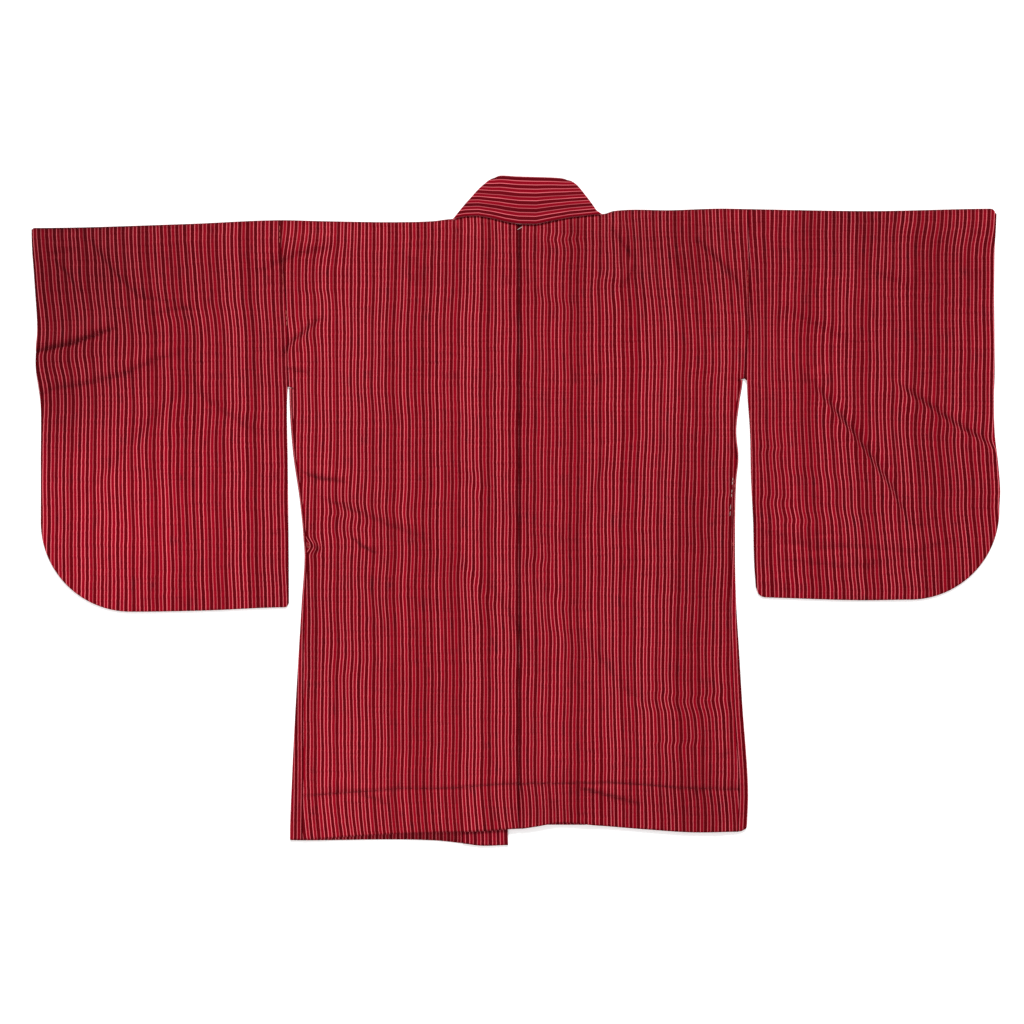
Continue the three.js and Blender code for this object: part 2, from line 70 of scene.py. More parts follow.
# The collar
COLLAR_CLOTH = 2.6
COLLAR_WIDTH = 57
COLLAR_LENGTH = 850  # of each strip below the neck
NECK_LENGTH = 190
NECK_TURN = 0.75 * COLLAR_CLOTH  # from the neck's corners to where a strip is folded under
COLLAR_CORNER = 6  # how far along its top the collar's corners are rounded
COLLAR_CORNER_DROP = 2.6
COLLAR_CORNER_SHARE = 0.93  # the share of its width at which that starts
LEAF_GAP = 0.3  # between the two leaves where it is folded
STRIP_GAP = 0.5  # between a strip and the back above it

UPPER_REST = CLOTH + AIR
UPPER_FACE = UPPER_REST + CLOTH
STRIP_CLIMB = COLLAR_CLOTH + STRIP_GAP - UPPER_REST

# A closed edge, from flat cloth to its outermost line: how far in, and how far below the upper face
EDGE_INSETS = np.array([1.5, 0.45, 0.0])
EDGE_DROPS = np.array([0.0, 0.45, 1.5])
TURN_ROWS = len(EDGE_INSETS) - 1
THREAD_STEP = 2.86  # size of one square of the cloth's mesh
PLAIN_STEP = 16  # length of a square on the hidden front

# What the camera sees of the floor, in metres
PICTURE_WIDTH = 1.3107
PICTURE_MIDDLE = (-0.0051, -0.0016)

LEFT = {
    "hand": -1,
    "inner_corner": 5,
    "cuff_corner": 1.5,
    "hem_corner": 1.5,
    "armhole_end": 158.5,
    "slit_end": 135,
    "corner": (493, -14.3),
    "neck_point": (82, 373),
    # out, y
    "shoulder": [(82, 373), (105, 370.6), (150, 369.3), (250, 370.6), (302, 371.8), (420, 367),
                 (619.5, 361.8)],
    "sleeve_bottom": [(290.6, -123.6), (400, -127.8), (493, -129.3)],
    "back_hem": [(-3.8, -406.4), (46, -409.6), (148, -412.8), (214, -416.6), (273, -420.6)],
    "front_hem": [(10, -427.6), (46, -428.3), (68, -425.5), (104, -421.8), (273, -421.8)],
    # y, out
    "armhole": [(158.5, 291.8), (248, 293), (320, 299), (372, 302)],
    "sleeve_inner": [(-124, 290.6), (60, 292), (140, 293), (158.5, 292.2)],
    "cuff": [(-14.3, 608), (60, 608), (150, 609), (185, 614), (230, 612), (300, 616), (362, 619.5)],
    "side_fold": [(-422, 289.3), (-345, 286.7), (-243, 281.6), (-115, 274), (-58, 270.5), (-38, 271.5),
                  (13, 276.5), (77, 285.5), (157, 290)],
    # y, width
    "gusset": [(-422, 16.6), (-345, 15), (-243, 10), (-115, 4.5), (157, 4)],
    "collar_hem": {"seam": 68, "free": 10, "y": -425.5},
    "collar_corner": (32, 427.2),
    # share of the way from the neck point to the corner, bow
    "collar_bow": [(0, 0), (0.4, 0.6), (0.7, 1.6), (0.88, 0.4), (1, -2)],
    # The bulge of the gusset: y, half its length, rise
    "puff": (-33, 7, 1.2),
}
RIGHT = {
    "hand": 1,
    "inner_corner": 12,
    "cuff_corner": 6,
    "hem_corner": 6,
    "armhole_end": 169,
    "slit_end": 150,
    "corner": (503.5, 1.1),
    "neck_point": (111.3, 379.5),
    "shoulder": [(111.3, 379.5), (125, 383.4), (200, 384.6), (261, 386.6), (297, 386), (455, 383.5),
                 (614.5, 386.5)],
    "sleeve_bottom": [(307.2, -110.7), (350, -112), (440, -114.6), (503.5, -113.9)],
    "back_hem": [(3.8, -406.4), (24, -403.8), (56, -398.9), (107, -402.6), (171, -407.7), (223, -411),
                 (285, -410.4)],
    "front_hem": [(30, -401.5), (285, -402.5)],
    "armhole": [(169, 292), (232, 297), (387, 297)],
    "sleeve_inner": [(-111, 307.2), (-63, 304.6), (-12, 303.4), (40, 300.8), (100, 299.5), (169, 295.5)],
    "cuff": [(1.1, 618.5), (25, 619.5), (60, 617), (100, 612.5), (190, 611.8), (330, 611.8), (387, 614.5)],
    "side_fold": [(-411, 295.7), (-358, 297), (-243, 289.3), (-178, 285.4), (-115, 281.6), (-44, 280.3),
                  (40, 282), (65, 284.5), (103, 282), (141, 286.2), (168, 290)],
    "gusset": [(-411, 12), (-166, 9.6), (-44, 4.5), (168, 4)],
    "collar_hem": {"seam": 88.3, "free": 30.7, "y": -401.5},
    "collar_corner": (67, 424.6),
    "collar_bow": [(0, 0), (0.11, -1.5), (0.3, 0.8), (0.6, 3.9), (0.85, 5), (1, 1.5)],
    "puff": (76, 7, 2.2),
}

# x, y
NECK_SEAM = [(-82, 373), (-65, 376.3), (-48, 377), (-31, 374), (-13.5, 369.5), (3.8, 366.7), (25.5, 366.3),
             (47, 370.8), (68.5, 375), (90, 377.3), (111.3, 379.5)]
COLLAR_TOP = [(-32, 427.2), (-20, 428.3), (0, 427.2), (45, 425.8), (67, 424.6)]

# Folds of the upper leaves: how high each rises, how far its crest is from its line, and that line from
# left to right. The cloth bulges on the line's upper side and meets the cloth below it in a crease.
FOLDS = [
    (4.6, 8, [(-622, 201), (-565, 214), (-509, 234)]),
    (2.4, 7, [(-618, 144), (-590, 156), (-560, 160), (-505, 173), (-456, 194), (-424, 202)]),
    (2.2, 10, [(-552, 356), (-535, 332), (-516, 307), (-483, 273), (-419, 260)]),
    (1.8, 8, [(-591, 321), (-572, 301), (-558, 278)]),
    (1.0, 6, [(-599, 327), (-556, 336)]),
    (1.6, 6, [(-468, 251), (-440, 256), (-410, 260)]),
    (2.0, 14, [(-568, -2), (-485, 94), (-410, 173)]),
    (2.0, 12, [(-430, 193), (-399, 143), (-326, 94)]),
    (2.4, 10, [(-334, 303), (-277, 328), (-225, 338)]),
    (2.6, 5, [(-300, 195), (-286, 217), (-272, 226), (-263, 236), (-246, 248)]),
    (1.6, 4, [(-297, 182), (-280, 179), (-262, 176)]),
    (1.2, 5, [(-314, -30), (-300, -28)]),
    (0.9, 9, [(-460, 110), (-458, 78), (-462, 45)]),
    (0.9, 9, [(-402, -5), (-400, -38), (-404, -70)]),
    (4.2, 10, [(372, 172), (392, 147), (435, 94), (476, 35), (509, -25)]),
    (3.2, 8, [(486, 163), (515, 143), (561, 111), (622, 76)]),
    (2.0, 14, [(334, 261), (435, 211)]),
    (1.6, 10, [(460, 303), (509, 282)]),
    (1.4, 7, [(308, -25), (364, -33), (415, -25)]),
    (1.8, 9, [(325, -35), (385, -48), (450, -45)]),
    (1.2, 6, [(428, -44), (504, -53), (568, -38)]),
    (1.2, 6, [(338, -63), (415, -71), (492, -66)]),
    (1.2, 6, [(378, 24), (394, 4)]),
    (1.3, 7, [(421, -53), (447, -75)]),
    (3.0, 5, [(-284, 58), (-270, 48), (-253, 41.5), (-215, 37)]),
    (2.8, 4, [(-276, -30), (-262, -43), (-250, -51)]),
    (2.2, 3.5, [(-276, -58), (-262, -54), (-250, -51)]),
    (2.6, 12, [(-258, 19), (-192, -7), (-109, -40)]),
    (2.6, 4.5, [(-210, -34), (-196, -46), (-178, -55)]),
    (2.0, 13, [(-192, -74), (-168, -157), (-192, -225)]),
    (2.4, 13, [(-42, -83), (8, -157), (26, -207)]),
    (2.0, 12, [(76, -149), (142, -232), (175, -249)]),
    (1.8, 11, [(83, -40), (92, -7), (117, 77)]),
    (0.9, 9, [(17, 94), (22, 30), (29, -40)]),
    (1.8, 12, [(205, -57), (201, -157)]),
    (1.8, 5, [(113, 376), (128, 352), (142, 334), (153, 317)]),
    (1.6, 5, [(137, 286), (146, 301), (153, 317)]),
    (2.4, 11, [(151, 320), (163, 261), (151, 185)]),
    (2.2, 6, [(226, 350), (250, 328), (270, 308), (283, 290), (292, 262)]),
    (1.4, 7, [(198, 330), (212, 304)]),
    (1.6, 6, [(-139, 330), (-134, 290)]),
    (0.8, 8, [(-92, 140), (-90, 92)]),
    (2.6, 4.5, [(74, -352), (114, -363), (160, -375)]),
    (2.0, 8, [(-209, -358), (-159, -378)]),
    (1.0, 6, [(-251, -362), (-201, -354)]),
    (1.2, 6, [(42, -374), (56, -371)]),
    (1.4, 7, [(259, -316), (274, -309)]),
    (1.4, 7, [(225, -362), (242, -358)]),
]

# Where the cloth is pulled so that its stripes go sideways: how strongly to the right on the way down
# across the line, over what distance on each side of it, and the line from left to right
PULLS = [
    (10.0, 50, [(-690, 272), (-450, 272), (-250, 275)]),
    (-4.5, 14, [(-570, 164), (-430, 166), (-290, 160)]),
    (-7.0, 30, [(-700, 112), (-480, 110), (-290, 110)]),
    (3.0, 12, [(-330, -24), (-190, -35), (-60, -52)]),
    (5.0, 30, [(-330, -138), (-90, -138), (170, -138)]),
    (13.0, 60, [(50, -250), (190, -255), (370, -255)]),
    (26.0, 72, [(100, 300), (215, 300), (340, 296)]),
    (-6.0, 10, [(98, 306), (120, 296), (142, 288)]),
    (-7.0, 40, [(296, 290), (400, 300), (520, 300)]),
    (14.0, 45, [(262, -42), (450, -45), (700, -40)]),
    (-4.0, 4, [(-650, 196), (-590, 207), (-565, 214), (-530, 226)]),
    (3.0, 7, [(-605, 172), (-555, 190), (-505, 214)]),
    (-2.5, 5, [(-612, 148), (-560, 166), (-510, 174)]),
    (3.0, 9, [(-515, 212), (-440, 246), (-370, 258), (-298, 262)]),
    (3.0, 6, [(-552, 356), (-535, 332), (-516, 307), (-483, 273)]),
    (2.5, 5, [(-591, 321), (-572, 301), (-558, 278)]),
    (-4.0, 9, [(-568, -2), (-485, 94), (-410, 173)]),
    (2.5, 6, [(-457, 77), (-430, 105), (-400, 129)]),
    (-3.0, 10, [(-388, 132), (-315, 114)]),
    (-3.0, 11, [(-452, -86), (-392, -66)]),
    (-6.0, 46, [(-230, 290), (-100, 290), (20, 280)]),
    (-3.0, 14, [(130, 180), (230, 178), (345, 175)]),
    (3.0, 16, [(50, -30), (150, -30), (310, -35)]),
    (3.0, 7, [(-288, 280), (-225, 274)]),
    (4.0, 20, [(-285, 146), (-200, 140), (-100, 138)]),
    (6.0, 9, [(-268, 14), (-190, 0), (-100, -22)]),
    (-3.0, 4, [(-255, -4), (-215, -10), (-170, -26)]),
    (3.0, 6, [(-248, -31), (-193, -35)]),
    (3.0, 8, [(-200, -86), (-185, -115), (-168, -146)]),
    (-3.5, 15, [(-275, -196), (-200, -200), (-130, -192)]),
    (-3.0, 5, [(-66, 44), (-50, 28), (-36, 14)]),
    (-4.0, 6, [(-75, -55), (-48, -95), (-15, -133)]),
    (-5.0, 4, [(130, 374), (141, 335), (149, 298)]),
    (4.0, 6, [(216, 352), (250, 328), (272, 305), (290, 262)]),
    (-4.0, 4, [(30, 352), (60, 350), (90, 353)]),
    (4.0, 5, [(25, 343), (60, 341), (98, 344)]),
    (3.0, 6, [(10, 282), (45, 270), (88, 257)]),
    (-3.0, 6, [(86, 12), (103, 40), (118, 68)]),
    (-3.0, 6, [(8, -56), (48, -71)]),
    (-3.5, 6, [(34, -92), (54, -112), (76, -130)]),
    (4.0, 10, [(15, -138), (75, -165), (135, -203)]),
    (-4.0, 4, [(155, -226), (215, -240), (285, -232)]),
    (6.0, 9, [(125, -248), (205, -253), (292, -256)]),
    (-3.5, 4, [(165, -294), (205, -298), (250, -292)]),
    (-3.0, 5, [(250, 17), (290, 18)]),
    (-5.0, 16, [(440, 370), (540, 358), (660, 334)]),
    (-2.0, 14, [(303, 366), (415, 362)]),
    (-5.0, 14, [(305, 262), (365, 244), (430, 224)]),
    (9.0, 4, [(462, 176), (488, 162), (515, 143), (561, 111), (650, 60)]),
    (9.0, 2.5, [(366, 180), (392, 147), (435, 94), (476, 35), (512, -32)]),
    (9.0, 55, [(270, 66), (400, 45), (680, -10)]),
    (-4.0, 4, [(302, 80), (350, 74)]),
    (3.5, 7, [(302, 52), (380, 46), (445, 36)]),
    (-4.0, 4, [(302, 18), (362, 13)]),
    (3.5, 8, [(305, 0), (400, -6), (490, -10)]),
    (-3.0, 4, [(330, -14), (390, -20)]),
    (3.0, 9, [(305, -88), (420, -94), (555, -84)]),
]
# The same, on the body's back alone
BODY_PULLS = [
    (-12.0, 20, [(-350, 334), (-290, 334), (-185, 330)]),
    (-7.0, 4, [(-325, 172), (-286, 214), (-272, 226), (-258, 238), (-238, 252)]),
    (9.0, 3.5, [(-298, -30), (-268, -37), (-244, -44)]),
    (-9.0, 3.5, [(-298, -54), (-268, -51), (-244, -50)]),
]

# How far the stripes lean to the right from the hem's turn-up line down to the hem
# x, shift
HEM_LEAN = [(-290, 5), (-240, 5), (-170, 5.5), (-90, 4.5), (-20, 5), (10, 4), (40, 1.5), (75, 0), (125, 0),
            (165, 1), (200, 3), (240, 4), (290, 4)]
# The line to which the back hem is turned up and sewn
# x, y
TURN_UP = [(-290, -366), (-262, -364), (-206, -359), (-148, -355), (-84, -354), (-40, -351), (-10, -349),
           (54, -348), (116, -347.5), (169, -350), (208, -354.5), (254, -355), (294, -356)]
# The one stitch at the top of the back seam: both ends and the thickness
SEAM_TOP_STITCH = (1.3, 358.8, 8.9, 363.4, 0.8)
# Runs of stitches: the line, the step from one to the next, their length and thickness
BASTING_RUNS = [
    ([(277.4, 45), (276.4, 31)], 5, 4.4, 0.8),
    ([(276.4, 30), (275, 12)], 5.5, 4.6, 0.6),
    ([(274.8, 12), (273.4, -8)], 8, 7, 0.5),
]
LOOSE_RUNS = [
    ([(278.5, 43), (281, 18)], 6, 5, 0.6),
    ([(279.6, 12), (278.6, -10)], 8, 7, 0.5),
    ([(278.6, -39), (276.5, -43), (279.5, -48), (277, -52)], 3.4, 3.0, 0.8),
    ([(279, -64), (281.6, -115)], 5, 2.2, 0.6),
    ([(-268.5, -40), (-263, -44), (-267, -47), (-259, -47)], 4.6, 4.2, 0.6),
    ([(-302.2, 369), (-301.8, 338)], 8, 7.4, 0.8),
    ([(-299, 306), (-297, 282)], 7, 6.4, 0.7),
    ([(-294.2, 260), (-292.8, 236)], 7, 6.4, 1.0),
    ([(295.8, 312), (296.1, 276)], 8, 7.4, 0.5),
]
HEM_RUNS = [(TURN_UP[1:-1], 6.5, 3.4, 0.55)]

# The cloth's broad painted shade, and painted light where the depth is below 0, for light falling unevenly
# over the garment: how deep, the middle, and the reach along x and y
SHADES = [
    (0.33, -600, 340, 150, 110),
    (-0.34, -480, -30, 140, 150),
    (0.14, -600, 170, 120, 90),
    (0.06, -50, -50, 260, 300),
    (0.20, 190, 345, 140, 90),
    (0.09, -50, 340, 420, 100),
    (-0.08, -200, -330, 150, 170),
    (0.12, 260, 0, 60, 160),
    (0.19, 240, -385, 110, 55),
    (-0.08, 350, 50, 60, 150),
    (0.10, 560, 340, 90, 90),
    (0.08, 490, 100, 70, 300),
    (0.2, 430, 375, 60, 55),
    (0.11, -595, 200, 70, 130),
    (0.09, -520, 300, 50, 150),
    (0.16, -275, -150, 45, 110),
    (-0.05, -120, -80, 50, 260),
    (0.06, 190, -80, 50, 260),
    (0.05, 260, -230, 50, 180),
    (0.12, 50, -378, 70, 40),
    (0.08, -600, 130, 70, 80),
]

FOLD_TAIL = 8  # a fold has died away at this many times its crest's distance
FOLD_ENDS = 2.2  # how fast a fold rises from its ends
# The painted shade along the creases, taken off the cloth's colour
CREASE_WIDTH = 1.3
CREASE_REACH = 0.12  # how far a crease's shade goes up the bulge, as a share of the crest's distance
CREASE_SHADE = 0.62
DEEPEST_SHADE = 0.8
PULL_SHARE = 0.26  # of a pull's strength, by which the stripes move on each side of its line
PULL_TAIL = 4.5  # how far out a pull fades, in its own distances
PULL_ENDS = 0.3  # the share of a line over which its pull fades out at each end
SEAM_DIP = 1.1  # how deep the upper face goes down into a sewn seam
SEAM_REACH = 2.6
# Painted shade, as a share of the light taken off the colour, at rolled edges, seams, the turn-up's groove,
# the gussets and the collar
EDGE_SHADE = 0.8  # where the cloth rolls over the shoulder
EDGE_ROLL = 1.5
CENTRE_SEAM_SHADE = 0.4
SIDE_SEAM_SHADE = 0.15
SLEEVE_SEAM_SHADE = 0.2
GROOVE_SHADE = 0.45
GUSSET_SHADE = 0.15
PINCH_SHADE = 0.3  # at both ends of a gusset's bulge
PINCH_WIDTH = 3
COLLAR_SEAM_SHADE = 0.12
COLLAR_EDGE_SHADE = 0.4
COLLAR_EDGE_SHARE = 0.965  # the share of the collar's width at which that shade starts

CRINKLE_PULL = 0.0009  # metres by which the finest crinkles move the stripes
STRIPE_PERIOD = 9.2  # from one dark stripe to the next
SLEEVE_STRETCH = 0.93  # the share of the body's stripes that fit into the same width of a sleeve
COLLAR_STRIPES = 6  # periods across the collar
SEAM_STRIPE = 2.1  # of a dark stripe's middle from the back seam
FRONT_SHIFT = 3.4  # of the front's stripes against the back's


def curve(rows):
    """A smooth curve through rows of (key, value), level beyond both ends."""
    keys, values = np.array(rows, float).T
    last = len(keys) - 2

    def at(key):
        key = np.clip(key, keys[0], keys[-1])
        i = np.clip(np.searchsorted(keys, key, side="right") - 1, 0, last)
        start, end = keys[i], keys[i + 1]
        before = np.where(i > 0, i - 1, i + 1)
        after = np.where(i < last, np.minimum(i + 2, last + 1), i)
        key_before = np.where(i > 0, keys[before], 2 * start - end)
        key_after = np.where(i < last, keys[after], 2 * end - start)
        pull = 0.5 * (end - start) / (start - key_before)
        push = 0.5 * (end - start) / (key_after - end)
        t = (key - start) / (end - start)
        return (
            values[before] * pull * (2 * t**2 - t**3 - t)
            + values[i] * ((1 + pull) * t**3 - (1.5 + 2 * pull) * t**2 + (pull - 0.5) * t + 1)
            + values[i + 1] * ((1.5 + push) * t**2 - (1 + push) * t**3 + 0.5 * t)
            + values[after] * push * (t**3 - t**2)
        )

    return at


def lerp(start, end, share):
    return start + (end - start) * share


def smoothstep(value, low, high):
    t = np.clip((value - low) / (high - low), 0, 1)
    return t * t * (3 - 2 * t)


def neck_seam(x):
    """The height of the seam between the back and the collar."""
    keys, values = np.array(NECK_SEAM, float).T
    return np.interp(x, keys, values)


collar_top = curve(COLLAR_TOP)


def beside(line, x, y):
    """How far a place is to the left of a line of points, or less than 0, and its share along the line."""
    points = np.array(line, float)
    nearest = np.full(np.shape(x), np.inf)
    side = np.zeros(np.shape(x))
    share = np.zeros(np.shape(x))
    lengths = np.hypot(*np.diff(points, axis=0).T)
    travelled = 0.0
    for (x0, y0), (x1, y1), length in zip(points[:-1], points[1:], lengths):
        along_x, along_y = (x1 - x0) / length, (y1 - y0) / length
        along = np.clip((x - x0) * along_x + (y - y0) * along_y, 0, length)
        off = np.hypot(x - x0 - along * along_x, y - y0 - along * along_y)
        closer = off < nearest
        nearest = np.where(closer, off, nearest)
        turn = along_x * (y - y0) - along_y * (x - x0)
        side = np.where(closer, np.sign(turn), side)
        share = np.where(closer, (travelled + along) / lengths.sum(), share)
        travelled += length
    return side * nearest, share


def folds_at(x, y):
    """How high the folds lift the upper cloth, and how much of the light is lost down in the creases."""
    total, lost = 0, 0
    for rise, crest, line in FOLDS:
        off, share = beside(line, x, y)
        bulge = np.clip(off / crest, 0, FOLD_TAIL) * np.exp(1 - np.abs(off) / crest)
        ends = np.minimum(1, FOLD_ENDS * np.sqrt(share * (1 - share)))
        total = total + (rise * ends * bulge) ** 2
        # Painted shade along the crease's line and a little way up its bulge
        reach = np.where(off > 0, CREASE_REACH * crest, 0) + CREASE_WIDTH
        lost = lost + ends * CREASE_SHADE * rise / crest * np.exp(-((off / reach) ** 2))
    return np.sqrt(total), np.minimum(lost, DEEPEST_SHADE)


def cloth_height(x, y, rise):
    """How high the cloth lies above its rest, and its shade. rise fades both out towards the edges."""
    height, lost = folds_at(x, y)
    lost = lost * np.minimum(1, 4 * rise + 0.3)  # a crease's shade fades closer to the edge than its height
    return rise * (height + sway(x, y)), lost + broad_shade(x, y)


def broad_shade(x, y):
    """The share of the light taken off the colour as broad painted shade; below 0 it is painted light."""
    total = 0
    for depth, x0, y0, wide, long in SHADES:
        total = total + depth * np.exp(-(((x - x0) / wide) ** 2) - ((y - y0) / long) ** 2)
    return total


def sway(x, y):
    """The gentle unevenness of laid cloth, about 0 to 1 mm high."""
    return (
        0.30 * np.sin(x / 31 + 2.1 * np.sin(y / 67))
        + 0.26 * np.sin(y / 23 + 1.7 * np.sin(x / 83) + x / 140)
        + 0.18 * np.sin((x + 2 * y) / 19 + 1.3 * np.sin(x / 47))
        + 0.74
    )


def stripe_pull(x, y, pulls):
    """How far the stripes are moved from their own place."""
    total = 0
    for shift, spread, line in pulls:
        off, share = beside(line, x, y)
        ends = smoothstep(np.minimum(share, 1 - share), 0, PULL_ENDS)
        fade = np.exp(-((off / (PULL_TAIL * spread)) ** 2)) * ends
        total = total + PULL_SHARE * shift * np.tanh(off / spread) * fade
    total = total + 0.3 * np.sin(y / 13 + 2 * np.sin(x / 37) + x / 29)
    return total + 0.5 * np.sin(y / 47 + 2.4 * np.sin(x / 71))


def strip_edges(side, y):
    """The seam edge and the free edge of the collar strip that lies below the back, at height y."""
    hem = side["collar_hem"]
    neck_out, neck_y = side["neck_point"]
    share = (y - hem["y"]) / (neck_y - hem["y"])
    return lerp(hem["seam"], neck_out, share), lerp(hem["free"], side["collar_corner"][0], share)


def strip_share(side, out, y):
    """The share of STRIP_CLIMB by which the back stands on the collar strips."""
    seam, free = strip_edges(side, y)
    climb = 1 - smoothstep(out - seam, 0, CLIMB_LENGTH)
    return climb * (1 - SAG_SHARE * smoothstep(free - out, 0, CLIMB_LENGTH))


def steps(length, step=THREAD_STEP):
    """How many squares of the mesh fit into a length."""
    return max(1, round(length / step))


def rounding(distance, radius):
    """How far a rounded corner goes back, at a distance from the other edge."""
    within = np.clip(radius - distance, 0, radius)
    return radius - np.sqrt(radius**2 - within**2)


def dip(distance):
    """How far the cloth goes down towards a sewn seam."""
    return SEAM_DIP * np.exp(-((distance / SEAM_REACH) ** 2))


def add_leaf(bm, columns, rows, place):
    """A leaf of cloth: place gives x, y, z, the place across the stripes and the shade of its points."""
    verts = bmesh.ops.create_grid(bm, x_segments=columns, y_segments=rows, size=1)["verts"]
    column = np.array([round((v.co.x + 1) / 2 * columns) for v in verts])
    row = np.array([round((1 - v.co.y) / 2 * rows) for v in verts])
    x, y, z, across, shade = place(column, row)
    # The thread attribute holds the place across the stripes, the place along them and the painted shade
    thread = bm.verts.layers.float_vector["thread"]
    shade = shade + np.zeros(len(verts))
    for vert, *spot in zip(verts, x * MM, y * MM, z * MM, across * MM, shade):
        vert.co = spot[:3]
        vert[thread] = (spot[3], spot[1], spot[4])


def new_cloth():
    bm = bmesh.new()
    bm.verts.layers.float_vector.new("thread")
    return bm


def add_object(bm, name, material):
    """Turns a bmesh into an object of the scene, smooth and of one material."""
    for face in bm.faces:
        face.smooth = True
    mesh = bpy.data.meshes.new(name)
    bm.to_mesh(mesh)
    bm.free()
    mesh.materials.append(material)
    made = bpy.data.objects.new(name, mesh)
    bpy.context.scene.collection.objects.link(made)
    return made


def finish_cloth(bm, node, thickness, material):
    """Merges a piece's leaves, turns its faces outwards, makes it thick and sets it in the garment."""
    bmesh.ops.remove_doubles(bm, verts=bm.verts[:], dist=MERGE)
    bmesh.ops.dissolve_degenerate(bm, edges=bm.edges[:], dist=MERGE / 2)
    bmesh.ops.recalc_face_normals(bm, faces=bm.faces[:])
    highest = max(bm.faces, key=lambda face: face.calc_center_median().z * abs(face.normal.z))
    if highest.normal.z < 0:
        bmesh.ops.reverse_faces(bm, faces=bm.faces[:])
    piece = add_object(bm, node + "_cloth", material)
    wall = piece.modifiers.new("thickness", "SOLIDIFY")
    wall.thickness = thickness * MM
    wall.offset = -1
    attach(piece, "root")
    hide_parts(node)
    return piece


def side_curves(side):
    """The smooth edges of one side."""
    across = ("shoulder", "sleeve_bottom", "back_hem", "front_hem")
    along = ("armhole", "sleeve_inner", "cuff", "side_fold", "gusset")
    curves = {name: curve(side[name]) for name in across + along}
    arm_top = curves["armhole"](side["armhole"][-1][0])
    curves["arm_row"] = lambda share: lerp(curves["shoulder"](arm_top), side["armhole_end"], share)
    curves["side_seam"] = lambda y: curves["side_fold"](y) - curves["gusset"](y)
    return curves


